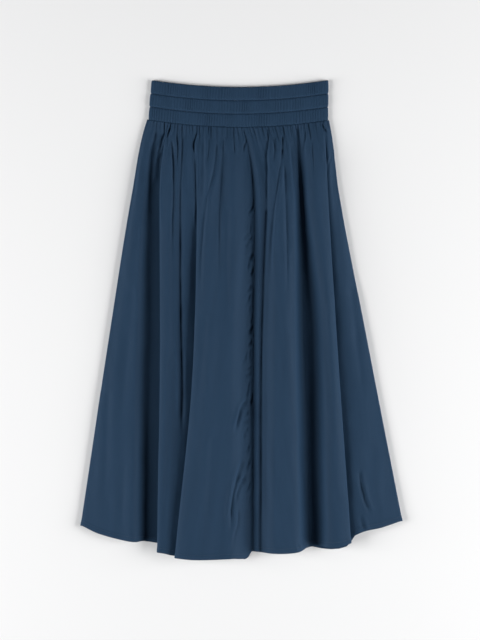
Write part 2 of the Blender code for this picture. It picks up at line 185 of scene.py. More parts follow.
# Rows of a panel: in all, under the band and at the hem, and how far those two go
FRONT_ROWS = (196, 56, 16)
BACK_ROWS = (150, 40, 12)
CLOSE_ROWS_TO = 0.2
CLOSE_ROWS_AT_HEM = 14.0

# Cloth, its turned hem and the faint line over it
CLOTH_THICKNESS = 0.5
GROUND = CLOTH_THICKNESS / 2
FRONT_LOWEST = 1.0
FRONT_RISEN_BY = 1.7
FRONT_RISEN_TO = 0.27
HEM_THICKNESS = 1.0
HEM_TURN = 9.5
HEM_FADE = 1.0
FRONT_HEM_FADE = 1.5
HEM_RISE = 0.3
HEM_STITCH_LINE = 8.0
HEM_STITCH_HEIGHT = 0.9 * HEM_THICKNESS / 2
HEM_DENT = 0.5
HEM_DENT_WIDTH = 0.9
LINE_OVER_HEM = 100.0
LINE_DEPTH = 0.2
LINE_WIDTH = 2.2

# Thread
STITCH_LENGTH = 2.6
STITCH_GAP = 0.7
STITCH_SMOOTHING = 9
THREAD_RADIUS = 0.22
THREAD_PROUD = 0.45

# Gathers under the band: x at the band, length, depth and width of the trough
LEFT_GATHERS = (
    (-161, 34, 1.4, 1.5), (-153, 26, 1.2, 1.3), (-147.5, 30, 1.4, 1.6), (-141, 22, 1.0, 1.3),
    (-134.5, 40, 2.6, 1.6), (-128, 30, 1.3, 1.4), (-123, 62, 2.6, 1.5), (-116, 22, 1.2, 1.3),
    (-111, 34, 1.8, 1.5), (-103.5, 80, 2.2, 2.6), (-96, 26, 1.0, 1.4), (-91, 16, 1.2, 1.2),
    (-85.5, 22, 1.4, 1.4), (-78, 36, 1.6, 1.6), (-73, 30, 1.6, 1.3), (-66, 22, 0.9, 1.4),
    (-57.5, 16, 2.4, 1.2), (-53, 38, 2.0, 1.5), (-43, 60, 0.9, 1.7), (-34, 26, 0.5, 1.6),
    (-25, 44, 1.3, 3.2), (-19, 22, 0.9, 1.4), (-13.5, 20, 2.2, 1.2), (-8, 30, 1.0, 1.3),
    (-1, 26, 1.5, 1.3),
)
RIGHT_GATHERS = (
    (10.5, 18, 1.8, 1.2), (14, 34, 1.4, 1.4), (20, 40, 1.6, 1.5), (28, 18, 0.8, 1.3),
    (35.5, 30, 1.6, 1.4), (41, 26, 1.0, 1.3), (47, 56, 2.6, 2.4), (53, 20, 1.0, 1.3),
    (58.5, 44, 1.6, 1.6), (66, 16, 0.9, 1.3), (72, 60, 2.4, 1.6), (79, 18, 0.9, 1.4),
    (84.5, 26, 1.7, 1.3), (88, 40, 1.0, 1.6), (94, 20, 2.0, 1.2), (98.5, 60, 2.4, 1.8),
    (104, 16, 1.2, 1.2), (109, 22, 1.4, 1.3), (116.5, 60, 2.2, 1.5), (124, 20, 0.9, 1.4),
    (129, 44, 1.4, 1.5), (137, 14, 1.2, 1.3), (143, 46, 0.8, 1.7), (149, 22, 1.2, 1.2),
)
GATHER_FADE = 0.9
GATHER_AT_SEAM = 0.45
GATHER_FULL_FROM = 6.0
GATHER_WIDENS = 0.4
# The soft puff between two gathers: its length, and its height and width as shares of the gap
PUFF_LENGTH = 40.0
PUFF_LENGTH_VARIES = 30.0
PUFF_HEIGHT = 0.19
PUFF_WIDTH = 0.38

# Form of a crease: its reach and bulge as shares of its width, its ends as shares of its length
CREASE_REACH = 5.0
CREASE_START = 0.25
CREASE_START_MOST = 9.0
CREASE_END = 0.35
CREASE_WANDER = 0.8
LONG_CREASE = 150.0
LONG_CREASE_WANDER = 0.4
BULGE_PLACE = 2.3
BULGE_WIDTH = 1.3
BULGE_ON_BOTH = 0.3
BULGE_BEHIND = 0.08
BULGE_OVER = 0.5

# How far the cloth faces up (0 on edge, 1 flat) where swells, creases and puckers fade in
SWELLS_FACING = (0.15, 0.6)
CREASES_FACING = (-0.05, 0.35)
PUCKERS_FACING = (-0.1, 0.3)
SWELLS_FROM = (0.03, 0.16)
LEFT_SWELL_PHASE = 0.4
RIGHT_SWELL_PHASE = 1.9
# A panel is calm beside its two side edges, for so many millimetres
CALM_FIRST_EDGE = 9.0
CALM_LAST_EDGE = 5.0
CALM_LAST_LEAST = 0.3
CALM_GATHERS_LEAST = 0.2

# Creases on the front: name, width, depth, side on which the cloth bulges over it (1 right,
# -1 left, 0 both), and (x, y) points along each
LEFT_CREASES = (
    ("slash_a", 1.3, 3.6, 1,
     ((-133, 331), (-137, 319), (-139.5, 310), (-142, 300), (-145, 292), (-148, 288))),
    ("valley_a_puff", 4.2, -2.4, 0,
     ((-143, 310), (-147, 294), (-149, 276), (-151, 255), (-154, 232))),
    ("slash_a_upper", 1.4, 2.4, 1, ((-123, 338), (-128, 327), (-131, 314))),
    ("edge_a_line", 1.5, 2.0, 1, ((-143, 290), (-144, 250), (-144, 200), (-143, 150))),
    ("slit_edge_b", 1.6, 4.0, 1, ((-78, 330), (-80, 320), (-83, 308), (-83, 298), (-81, 288))),
    ("edge_b_upper", 1.7, 1.3, -1,
     ((-83, 292), (-81, 262), (-79.5, 232), (-78.5, 205), (-77, 150))),
    ("valley_start", 2.2, 1.8, -1,
     ((-148, 332), (-152, 316), (-157, 300), (-159, 280), (-161, 240), (-163, 180))),
    ("panel_2_line", 1.9, 2.0, 1, ((-122, 316), (-119, 280), (-118, 225), (-120, 170), (-121, 90))),
    ("panel_2_broad", 4.2, 1.5, 0, ((-120, 310), (-118, 270), (-118, 230))),
    ("panel_2_gather", 1.8, 1.6, -1, ((-114, 330), (-111, 300), (-112, 262))),
    ("strip_line_upper", 2.2, 1.9, -1,
     ((-102, 322), (-104, 290), (-106, 240), (-107, 200), (-107, 130))),
    ("strip_line_middle", 3.0, 3.1, 1, ((-107, 26), (-107, 105), (-107, 195))),
    ("strip_line", 3.1, 3.9, -1, ((-107, 34), (-106, -35), (-104, -100), (-103, -205))),
    ("strip_broad", 5.0, 1.3, 0, ((-97, 334), (-96, 300), (-95, 250), (-96, 190))),
    ("panel_3_diagonal", 2.8, 1.7, 1,
     ((-42, 310), (-44, 286), (-49, 256), (-60, 212), (-66, 165), (-70, 110), (-72, 30))),
    ("panel_3_fan", 3.4, 1.2, 0, ((-66, 318), (-66, 270), (-67, 220), (-70, 180))),
    ("panel_3_stripe", 2.4, 1.5, 1,
     ((-30, 322), (-33, 285), (-35, 245), (-38, 190), (-39, 120), (-40, 40))),
    ("panel_3_stripe_broad", 4.6, 1.5, 0, ((-26, 300), (-29, 270), (-32, 235), (-34, 190))),
    ("panel_3_short", 1.8, 1.3, -1, ((-57, 322), (-57, 300), (-60, 262))),
    ("panel_3_tick", 1.5, 1.6, 1, ((-15, 334), (-13, 312), (-12, 285))),
    ("seam_line_top", 1.8, 1.7, 0,
     ((3, 336), (8, 320), (14, 298), (18, 275), (20, 240), (21.5, 215), (22, 200))),
    ("seam_fork", 1.5, 1.8, 1, ((13, 334), (10, 318), (4, 300), (2, 288))),
    ("seam_fold_upper", 2.3, 3.6, -1,
     ((12, -138), (5, -145), (-1, -154), (-4, -168), (-7, -179), (-14, -200))),
    ("seam_fold_lower", 3.0, 3.2, -1,
     ((3, -243), (-2, -256), (-8, -276), (-14, -303), (-18, -330), (-17, -378))),
    ("seam_fold_inner", 2.3, 3.4, -1, ((8, -270), (3, -278), (-3, -288), (-8, -304), (-11, -322))),
    ("seam_fold_hem", 2.2, 1.6, -1, ((-6, -326), (-6, -352), (-11, -369), (-16, -398))),
    ("left_soft_1", 7.0, 1.3, 0, ((-190, 60), (-200, -60), (-214, -190))),
    ("left_soft_2", 6.0, 1.2, 0, ((-232, -120), (-236, -230), (-240, -330))),
    ("left_soft_3", 4.0, 1.0, 0, ((-166, 290), (-172, 230), (-184, 120), (-190, 40))),
    ("left_soft_4", 5.0, 1.0, 0, ((-205, -250), (-208, -310), (-209, -380))),
    ("crest_2_soft", 4.5, 1.2, -1, ((-126, -60), (-127, -180), (-131, -300), (-134, -400))),
    ("crest_soft_1", 7.0, 1.3, 0, ((-62, 10), (-68, -60), (-78, -180))),
    ("crest_soft_2", 6.0, 1.2, 0, ((-50, -200), (-56, -300), (-58, -400))),
    ("crest_soft_3", 5.0, 1.2, 0, ((-22, 200), (-26, 120), (-24, 40), (-20, -40))),
)
RIGHT_CREASES = (
    ("line_4_upper", 2.2, 1.9, 1,
     ((45, 338), (47, 318), (46, 300), (43, 286), (45, 255), (44.5, 215), (43.5, 170))),
    ("line_4_broad", 4.6, 2.0, 0, ((46, 318), (43, 296), (45, 272), (46, 250))),
    ("line_4_groove", 2.5, 1.9, 1,
     ((44, 196), (42.5, 160), (39.5, 105), (37, 40), (35, -40), (33.5, -160), (33.5, -300),
      (34.5, -480))),
    ("gather_top_4", 2.0, 3.0, 0, ((72, 326), (72, 314), (72, 300), (72, 286))),
    ("gather_run_4", 2.4, 1.8, 1,
     ((71, 302), (68, 270), (63, 235), (57, 195), (52, 140), (49, 60))),
    ("gather_turn_4", 2.8, 1.6, -1, ((73, 302), (75, 260), (77, 215), (79, 130), (80, 20))),
    ("gather_short_4", 1.8, 1.5, 1, ((59, 322), (58, 300), (56, 270))),
    ("gather_5", 2.2, 1.7, -1, ((86, 310), (88, 280), (92, 235), (97, 200))),
    ("slit_valley_d", 2.2, 3.2, -1,
     ((97, 338), (100, 305), (101, 268), (103, 235), (106, 190), (110, 130))),
    ("valley_d_tick", 1.8, 1.4, 1, ((114, 336), (112, 318), (109, 300), (109, 280))),
    ("panel_5_gather", 1.7, 1.2, -1, ((125, 322), (124, 290), (128, 240))),
    ("slit_edge_c", 2.4, 0.5, -1, ((143, 322), (145, 305), (145, 285), (146, 262))),
    ("slash_6", 1.6, 2.4, 1, ((140, 344), (144, 336), (150, 327))),
    ("edge_c_line", 1.5, 0.6, -1, ((158, 290), (152, 272), (151, 255))),
    ("panel_6_diagonal", 2.4, 3.2, 1,
     ((205, -262), (208, -285), (215, -312), (220, -325), (226, -342))),
    ("panel_6_lower", 2.6, 2.6, 1, ((206, -342), (211, -355), (216, -368))),
    ("panel_6_soft", 6.0, 1.2, 0, ((190, 60), (202, -40), (216, -150))),
    ("panel_6_soft_2", 5.0, 1.0, 0, ((180, 200), (190, 120), (200, 40))),
    ("panel_5_soft", 5.0, 1.0, 0, ((142, 40), (150, -80), (158, -220))),
    ("panel_4_soft", 7.0, 1.2, 0, ((68, -60), (66, -200), (64, -380))),
    ("panel_4_soft_2", 5.0, 1.2, 0, ((88, 120), (90, 0), (92, -140))),
    ("hem_4_wrinkle", 1.6, 1.2, 0, ((97, -388), (99, -396), (103, -404))),
    ("hem_4_wrinkle_2", 1.6, 1.0, 0, ((104, -384), (108, -393), (114, -402))),
)

# Puckers along the centre seam: x and y of the upper and lower end, depth and width
SEAM_PUCKERS = (
    (23.5, 216, 19.2, 188, 1.6, 2), (21.8, 201, 7, 182, 2.8, 2), (17.4, 173, 14.8, 147, 1.8, 1.6),
    (15.7, 155, -0.9, 142, 2.4, 1.9), (20, 147, 7, 135, 2.8, 2), (13.1, 135, 2.6, 128, 2.6, 1.7),
    (23.5, 119, 7.8, 101, 3.6, 3), (13.1, 101, 8.7, 88, 1.6, 1.8), (23.5, 94, 14.8, 75, 3, 2.6),
    (18.3, 61, 6.1, 49, 3.2, 2.3), (15.7, 46, 6.1, 28, 3, 2.2), (16.5, 27, 9.6, 11, 1.8, 2),
    (23.5, 9, 13.1, -5, 2.2, 2.2), (23.5, -7, 9.6, -26, 3.6, 3.4), (20, -34, 10.4, -46, 2.8, 2.2),
    (16.5, -50, 12.2, -71, 1.8, 1.6), (10.4, -55, -3.5, -81, 2.2, 1.7), (18.3, -80, 7.8, -88, 2, 2),
    (20, -90, 2.6, -100, 2.6, 1.9), (14.8, -106, 6.1, -127, 1.8, 1.8),
    (23.5, -123, 14.8, -151, 3, 2.8), (13.1, -121, 2.6, -137, 2.2, 1.7),
    (13.1, -160, 0.9, -168, 2.4, 1.6), (13.9, -174, -1.7, -179, 2.2, 1.5),
    (12.2, -186, 1.7, -199, 2.4, 1.5), (6.1, -198, 0.9, -207, 2.2, 1.6),
    (14.8, -215, 5.2, -232, 2.6, 1.7), (14.8, -242, 4.4, -264, 2.6, 1.8),
    (16.5, -282, 3.5, -303, 2.4, 1.8), (16.5, -306, 6.1, -312, 1.8, 1.6),
    (18.3, -315, -11.3, -319, 1.6, 1.6),
)

# Colours, and the finish of each cloth: roughness, size of the crinkles in metres, and their depth
NAVY = (0.0178, 0.045, 0.0885, 1.0)
NAVY_DARK = (0.0130, 0.036, 0.0725, 1.0)
SHEEN_BLUE = (0.36, 0.52, 0.78, 1.0)
THREAD_DARK = (0.010, 0.021, 0.042, 1.0)
THREAD_LIGHT = (0.026, 0.050, 0.090, 1.0)
FLOOR_WHITE = (0.84, 0.84, 0.84, 1.0)
WORLD_WHITE = (0.93, 0.95, 1.0, 1.0)
SKIRT_FINISH = (0.68, 0.022, 0.9)
BAND_FINISH = (0.78, 0.006, 0.5)

# Floor, lamps and camera, in metres. Softboxes: name, place, size across and up, watts
FLOOR_SIZE = 40.0
FLOOR_HEIGHT = -0.0002
SOFTBOXES = (
    ("left_softbox", (-3.3, -0.55, 1.5), 2.0, 2.4, 174.0),
    ("right_softbox", (3.1, -0.55, 1.4), 2.0, 2.3, 166.0),
)
CAMERA_LENS = 112.5
CAMERA_PLACE = (-0.0026, 0.0004, 3.5)


# Curves and forms of the cloth
def soft_step(start, end, value):
    """0 up to the start, 1 from the end, and a soft step between."""
    share = np.clip((value - start) / (end - start), 0.0, 1.0)
    return share * share * (3.0 - 2.0 * share)


def down_the_skirt(values, way):
    """Values at shares of the way from the band to the hem, from those at LEVELS."""
    values = np.array(values, float)
    steps = np.diff(values) / np.diff(LEVELS)
    slopes = np.zeros(4)
    slopes[0] = FANNING_AT_BAND * steps[0]
    slopes[3] = steps[2]
    for index in (1, 2):
        before, after = steps[index - 1], steps[index]
        if before * after > 0.0:
            slopes[index] = 2.0 * before * after / (before + after)
    index = np.clip(np.searchsorted(LEVELS, way, side="left") - 1, 0, 2)
    span = LEVELS[index + 1] - LEVELS[index]
    share = (way - LEVELS[index]) / span
    square, cube = share ** 2, share ** 3
    return (
        (2 * cube - 3 * square + 1) * values[index]
        + (cube - 2 * square + share) * slopes[index] * span
        + (3 * square - 2 * cube) * values[index + 1]
        + (cube - square) * slopes[index + 1] * span
    )


def band_line_y(x, rise):
    """Y of the bowed line that lies a rise above the band's seam."""
    bow = BAND_SAG * ((x - BAND_TOP_CENTRE) / (BAND_TOP_WIDTH / 2)) ** 2
    return BAND_TOP_MIDDLE_Y - BAND_HEIGHT + rise + bow


def knot(x, z, lift=0.0):
    """A knot on every row: x, height and hem lift."""
    return np.stack(np.broadcast_arrays(x, z, lift), axis=-1).astype(float)


def curve_between(before, start, end, after, shares):
    """Smooth curve from start to end on every row, at the shares of the way along it."""
    spans = []
    for first, second in ((before, start), (start, end), (end, after)):
        spans.append(np.maximum(np.hypot(*(second - first)[:, :2].T), 0.001)[:, None] ** 0.5)
    knots = [0.0 * spans[0], spans[0], spans[0] + spans[1], spans[0] + spans[1] + spans[2]]
    at = knots[1] + spans[1] * shares[None, :]
    row = [point[:, None, :] for point in (before, start, end, after)]
    for reach in (1, 2):
        joined = []
        for i in range(4 - reach):
            share = ((at - knots[i]) / (knots[i + reach] - knots[i]))[..., None]
            joined.append(row[i] + (row[i + 1] - row[i]) * share)
        row = joined
    share = (at - knots[1]) / (knots[2] - knots[1])
    return row[0] + (row[1] - row[0]) * share[..., None]


def section(knots, columns):
    """Points across a panel on every row."""
    parts = []
    for index, count in enumerate(columns):
        start, end = knots[index], knots[index + 1]
        before = knots[index - 1] if index > 0 else 2.0 * start - end
        after = knots[index + 2] if index + 2 < len(knots) else 2.0 * end - start
        parts.append(curve_between(before, start, end, after, np.arange(count) / count))
    parts.append(knots[-1][:, None, :])
    return np.concatenate(parts, axis=1)


def side_roll(edge, inward, way, upper, lift):
    """Knots of the quarter turn at one side. Front and back meet at its seam."""
    widened = soft_step(0.0, SIDE_WIDENS_BY, way)
    start = SIDE_SEAM_AT_BAND + (SIDE_SEAM_AT_HEM - SIDE_SEAM_AT_BAND) * widened
    if upper:
        roll = SIDE_ROLL_AT_BAND + (SIDE_ROLL_AT_HEM - SIDE_ROLL_AT_BAND) * widened
        up = 1.0
    else:
        roll = start - SIDE_STRAIGHT - GROUND
        up = -1.0
    straight = start + up * SIDE_STRAIGHT
    quarter = 1.0 - math.cos(math.radians(45.0))
    return [
        knot(edge, start, lift),
        knot(edge, straight, lift),
        knot(edge + inward * roll * quarter, straight + up * roll * (1.0 - quarter), lift),
        knot(edge + inward * roll, straight + up * roll, lift),
    ]


def fold_knots(way, folds):
    """Knots of the fold lines. A line with a turn has two, one over the other below the band."""
    knots = []
    for name, places, heights, turn, lift, _ in folds:
        x = down_the_skirt(places, way)
        height = down_the_skirt((FRONT_BAND_HEIGHT,) + heights, way)
        if turn:
            turned = soft_step(*(LATE_TURN if name in LATE_FOLDS else EARLY_TURN), way)
            spread = TURN_SPREAD * (1.0 - turned)
            knots.append(knot(x - spread, height - turn * turned / 2, lift))
            knots.append(knot(x + spread, height + turn * turned / 2, lift))
        else:
            knots.append(knot(x, height, lift))
    return knots


def fold_columns(folds):
    columns = []
    for _, _, _, turn, _, count in folds:
        if turn:
            columns.append(TURN_COLUMNS)
        columns.append(count)
    return columns


def seam_knots(way, side):
    """Knots of the flat strip on one side of the centre seam, from the seam outwards."""
    x = down_the_skirt(CENTRE_SEAM_X, way)
    height = down_the_skirt(CENTRE_SEAM_HEIGHTS, way)
    flat = CENTRE_SEAM_FLAT * (0.5 + 0.5 * soft_step(0.0, CENTRE_SEAM_WIDENS_BY, way))
    return [knot(x + side * reach, height, CENTRE_SEAM_LIFT) for reach in (CENTRE_SEAM_EDGE, flat)]


def left_front_section(way):
    roll = side_roll(down_the_skirt(LEFT_SIDE, way), 1.0, way, True, LEFT_CORNER_LIFT)
    knots = roll + fold_knots(way, LEFT_FRONT_FOLDS) + seam_knots(way, -1.0)[::-1]
    columns = [ROLL_COLUMNS] * 3 + [SIDE_TO_FOLD_COLUMNS]
    return section(knots, columns + fold_columns(LEFT_FRONT_FOLDS) + [SEAM_COLUMNS])


def right_front_section(way):
    roll = side_roll(down_the_skirt(RIGHT_SIDE, way), -1.0, way, True, RIGHT_CORNER_LIFT)
    knots = seam_knots(way, 1.0) + fold_knots(way, RIGHT_FRONT_FOLDS) + roll[::-1]
    columns = [SEAM_COLUMNS, SEAM_TO_FOLD_COLUMNS]
    return section(knots, columns + fold_columns(RIGHT_FRONT_FOLDS) + [ROLL_COLUMNS] * 3)


def rows_down(total, near_band, near_hem):
    """Shares of the way of the rows, closest together under the band and at the hem."""
    band = np.linspace(0.0, CLOSE_ROWS_TO, near_band, endpoint=False)
    hem = np.linspace(1.0 - CLOSE_ROWS_AT_HEM / SEAM_TO_HEM, 1.0, near_hem)
    middle = np.linspace(CLOSE_ROWS_TO, hem[0], total - near_band - near_hem, endpoint=False)
    return np.concatenate((band, middle, hem))


def normals_of(points):
    across = np.gradient(points, axis=1)
    down = np.gradient(points, axis=0)
    normals = np.cross(down, across)
    return normals / np.maximum(norm(normals, axis=2, keepdims=True), 1e-9)


def crease_depth(points, line, width, depth, side=0):
    """How far each point sinks into one soft crease: a trough, with the cloth bulging beside it."""
    line = np.array(line, float)
    lengths = np.concatenate(([0.0], np.cumsum(norm(np.diff(line, axis=0), axis=1))))
    reach = CREASE_REACH * width
    sunk = np.zeros(points.shape[:2])
    flat = points[..., :2]
    near = ((flat > line.min(axis=0) - reach) & (flat < line.max(axis=0) + reach)).all(axis=2)
    if not near.any():
        return sunk
    flat = flat[near]
    best = np.full(len(flat), 1e9)
    along = np.zeros(len(flat))
    right = np.zeros(len(flat))
    for index in range(len(line) - 1):
        step = line[index + 1] - line[index]
        step_length = norm(step)
        share = np.clip(((flat - line[index]) @ step) / (step @ step), 0.0, 1.0)
        offset = flat - line[index] - share[:, None] * step
        away = norm(offset, axis=1)
        turned = (step[0] * offset[:, 1] - step[1] * offset[:, 0]) / step_length
        closer = away < best
        best = np.where(closer, away, best)
        right = np.where(closer, turned, right)
        along = np.where(closer, lengths[index] + share * step_length, along)
    total = lengths[-1]
    ends = soft_step(0.0, min(CREASE_START * total, CREASE_START_MOST), along)
    ends *= soft_step(0.0, CREASE_END * total, total - along)
    wander = LONG_CREASE_WANDER if total > LONG_CREASE else CREASE_WANDER
    waves = 0.25 * np.sin(along / 13.0 + line[0, 0]) + 0.15 * np.sin(along / 5.3 + line[0, 1])
    bulge = np.exp(-((best - BULGE_PLACE * width) / (BULGE_WIDTH * width)) ** 2)
    strength = BULGE_ON_BOTH
    if side:
        over = soft_step(-0.5 * width, 0.5 * width, side * right)
        strength = BULGE_BEHIND + BULGE_OVER * over
    trough = np.exp(-(best / width) ** 2) - strength * bulge
    sunk[near] = depth * trough * ends * (1.0 + wander * waves)
    return sunk


def gather_relief(across, way, gathers):
    """Height of the gathers under the band: troughs, with a soft puff between each two."""
    down = (way * SEAM_TO_HEM)[:, None]
    relief = np.zeros((len(way), len(across)))
    shown = GATHER_AT_SEAM + (1.0 - GATHER_AT_SEAM) * soft_step(0.0, GATHER_FULL_FROM, down)
    for x, length, depth, width in gathers:
        fade = np.clip(1.0 - down / length, 0.0, 1.0) ** GATHER_FADE * shown
        opened = width * (1.0 + GATHER_WIDENS * down / length)
        relief -= depth * fade * np.exp(-((across[None, :] - x) / opened) ** 2)
    places = np.sort(np.array([gather[0] for gather in gathers], float))
    for middle, gap in zip((places[1:] + places[:-1]) / 2, np.diff(places)):
        length = PUFF_LENGTH + PUFF_LENGTH_VARIES * math.sin(2.1 * middle) ** 2
        fade = np.clip(1.0 - down / length, 0.0, 1.0)
        puff = np.exp(-((across[None, :] - middle) / (PUFF_WIDTH * gap)) ** 2)
        relief += PUFF_HEIGHT * gap * fade * puff
    return relief


def slow_unevenness(x, y, phase):
    """Low, uneven swells that run mostly lengthwise: heights times waves, in millimetres."""
    return (
        0.50 * np.sin(x / 15.0 + 1.1 * np.sin(y / 83.0 + phase) + phase)
        + 0.30 * np.sin(x / 7.3 - y / 190.0 + 0.8 * np.sin(y / 61.0) + 2.0 * phase)
        + 0.40 * np.sin(y / 47.0 + x / 31.0 + 0.7 * phase)
        + 0.20 * np.sin(y / 17.0 - x / 8.0 + 1.7 * phase) * np.sin(y / 57.0 + x / 40.0)
        + 0.16 * np.sin(y / 9.0 + x / 6.5 + 2.9 * phase) * np.sin(y / 38.0 - x / 23.0 + phase)
    )


def distance_to_hem(way):
    return (1.0 - way) * SEAM_TO_HEM


def in_turned_hem(from_hem, fade=HEM_FADE):
    """1 in the turned hem and 0 above it."""
    return soft_step(HEM_TURN + fade, HEM_TURN - 0.5, from_hem)


def hem_dent(from_hem):
    """How far the hem is drawn in along its stitching."""
    return HEM_DENT * np.exp(-((from_hem - HEM_STITCH_LINE) / HEM_DENT_WIDTH) ** 2)


def front_points(section_at, way, gathers, creases, puckers, phase):
    """Grid of points of one front panel, with its gathers, creases and hem."""
    points = section_at(way)
    top = points[0, :, 0]
    seam_y = band_line_y(top, -BAND_SEAM_GAP)
    hem_y = HEM_LOWEST_Y + points[:, :, 2]
    y = seam_y[None, :] + (hem_y - seam_y[None, :]) * way[:, None]
    base = np.stack((points[:, :, 0], y, points[:, :, 1]), axis=-1)
    normals = normals_of(base)
    upward = normals[..., 2]
    facing = soft_step(*SWELLS_FACING, upward)
    calm = soft_step(0.0, CALM_FIRST_EDGE, np.abs(base[..., 0] - base[:, :1, 0]))
    last = soft_step(0.0, CALM_LAST_EDGE, np.abs(base[..., 0] - base[:, -1:, 0]))
    calm *= last * (1.0 - CALM_LAST_LEAST) + CALM_LAST_LEAST
    shift = gather_relief(top, way, gathers) * np.clip(calm, CALM_GATHERS_LEAST, 1.0)
    sunk = np.zeros(base.shape[:2])
    for _, width, depth, side, line in creases:
        sunk += crease_depth(base, line, width, depth, side)
    shift -= sunk * soft_step(*CREASES_FACING, upward)
    swells = slow_unevenness(base[..., 0], base[..., 1], phase)
    shift += swells * facing * soft_step(*SWELLS_FROM, way)[:, None] * calm
    pucker = np.zeros(base.shape[:2])
    for upper_x, upper_y, lower_x, lower_y, depth, width in puckers:
        bow = (0.6 * upper_x + 0.4 * lower_x - 0.6, 0.4 * upper_y + 0.6 * lower_y)
        pucker += crease_depth(base, ((upper_x, upper_y), bow, (lower_x, lower_y)), width, depth)
    shift -= pucker * soft_step(*PUCKERS_FACING, upward)
    from_hem = distance_to_hem(way)[:, None]
    shift += HEM_RISE * in_turned_hem(from_hem, FRONT_HEM_FADE) - hem_dent(from_hem)
    shift -= LINE_DEPTH * np.exp(-((from_hem - LINE_OVER_HEM) / LINE_WIDTH) ** 2) * facing
    moved = base + normals * shift[..., None]
    over_gathers = np.clip(1.0 - way / FRONT_RISEN_TO, 0.0, 1.0)
    lowest = FRONT_LOWEST + CLOTH_THICKNESS / 2 + FRONT_RISEN_BY * over_gathers
    moved[..., 2] = np.maximum(moved[..., 2], lowest[:, None])
    return moved


def back_section(way):
    risen = soft_step(*BACK_FOLD_RISE, way)
    closed = soft_step(*BACK_FOLD_CLOSE, way)
    half = (len(BACK_FOLD_SHAPE) - 1) / 2
    knots = side_roll(down_the_skirt(LEFT_SIDE, way), 1.0, way, False, 0.0)
    columns = [ROLL_COLUMNS] * 3 + [BACK_PLAIN_COLUMNS]
    for _, middles, reaches, lean in BACK_FOLDS:
        middle = down_the_skirt(middles, way)
        reach = down_the_skirt((reaches[0], reaches[0]) + reaches, way)
        for index, (_, place, offset, height, count) in enumerate(BACK_FOLD_SHAPE[::lean]):
            open_x = (index - half) * BACK_FOLD_OPEN
            closed_x = lean * (place * reach + offset)
            place_x = middle + open_x + (closed_x - open_x) * closed
            knots.append(knot(place_x, GROUND + risen * height))
            columns.append(count)
        columns[-1] = BACK_PLAIN_COLUMNS
    knots += side_roll(down_the_skirt(RIGHT_SIDE, way), -1.0, way, False, 0.0)[::-1]
    return section(knots, columns + [ROLL_COLUMNS] * 3)


def back_points(way):
    """Grid of points of the back panel, flat on the floor below its gathers."""
    across = back_section(way)
    hem_x = back_section(np.array((1.0,)))[0, :, 0]
    total = across.shape[1] - 1
    column = np.arange(total + 1)
    roll = 3 * ROLL_COLUMNS
    placed = soft_step(0.0, LEVELS[1], way)[:, None]
    left = down_the_skirt(LEFT_SIDE, way)[:, None]
    width = down_the_skirt(RIGHT_SIDE, way)[:, None] - left
    even_x = left + width * column[None, :] / total
    inner = ((column > roll) & (column < total - roll))[None, :]
    x = np.where(inner, even_x + (across[..., 0] - even_x) * placed, across[..., 0])
    top_x = LEFT_SIDE[0] + (RIGHT_SIDE[0] - LEFT_SIDE[0]) * column / total
    fade = np.clip(1.0 - way / BACK_GATHER_LENGTH, 0.0, 1.0)[:, None] ** BACK_GATHER_FADE
    drift = 0.35 * np.sin(column / 11.0) + 0.2 * np.sin(column / 4.3)
    wave = np.cos(2.0 * math.pi * (BACK_GATHERS * column / total + drift))
    gather = BACK_BAND_HEIGHT - GROUND + wave * BACK_GATHER_RISE
    z = np.where(inner, across[..., 1] + gather[None, :] * fade, across[..., 1])
    seam_y = band_line_y(top_x, -BAND_SEAM_GAP)
    hem_y = HEM_LOWEST_Y + np.interp(hem_x, *np.array(BACK_HEM, float).T)
    y = seam_y[None, :] + (hem_y - seam_y)[None, :] * way[:, None]
    points = np.stack((x, y, z), axis=-1)
    swells = np.clip(slow_unevenness(x * 1.4, y, 2.3), 0.0, 1.0)
    rise = BACK_SWELL * swells * soft_step(*BACK_SWELLS_FROM, way)[:, None]
    points[..., 2] += np.where(inner, rise * (across[..., 1] < GROUND + 0.2), 0.0)
    from_hem = distance_to_hem(way)[:, None]
    doubled = in_turned_hem(from_hem) * (HEM_THICKNESS - CLOTH_THICKNESS) / 2
    points[..., 2] = np.maximum(points[..., 2], GROUND + doubled + hem_dent(from_hem))
    return points


# Pieces
def grid_piece(name, points):
    """A sheet on a grid of points in millimetres, with its UV map in metres of cloth."""
    rows, columns = points.shape[:2]
    bpy.ops.mesh.primitive_grid_add(x_subdivisions=columns - 1, y_subdivisions=rows - 1, size=2.0)
    piece = bpy.context.object
    piece.name = name
    mesh = piece.data
    mesh.name = name
    placed = np.empty(len(mesh.vertices) * 3)
    mesh.vertices.foreach_get("co", placed)
    placed = placed.reshape(-1, 3)
    column = np.rint((placed[:, 0] + 1.0) / 2.0 * (columns - 1)).astype(int)
    row = np.rint((1.0 - placed[:, 1]) / 2.0 * (rows - 1)).astype(int)
    mesh.vertices.foreach_set("co", (points[row, column] * MILLIMETRE).ravel())
    across = np.zeros((rows, columns))
    across[:, 1:] = np.cumsum(norm(np.diff(points, axis=1), axis=2), axis=1)
    across -= across[:, -1:] / 2
    down = np.zeros((rows, columns))
    down[1:] = np.cumsum(norm(np.diff(points, axis=0), axis=2).mean(axis=1))[:, None]
    cloth = np.stack((across, -down), axis=-1) * MILLIMETRE
    corners = np.empty(len(mesh.loops), int)
    mesh.loops.foreach_get("vertex_index", corners)
    layer = mesh.uv_layers[0]
    layer.name = "cloth"
    layer.data.foreach_set("uv", cloth[row[corners], column[corners]].ravel())
    mesh.update()
    return piece, row


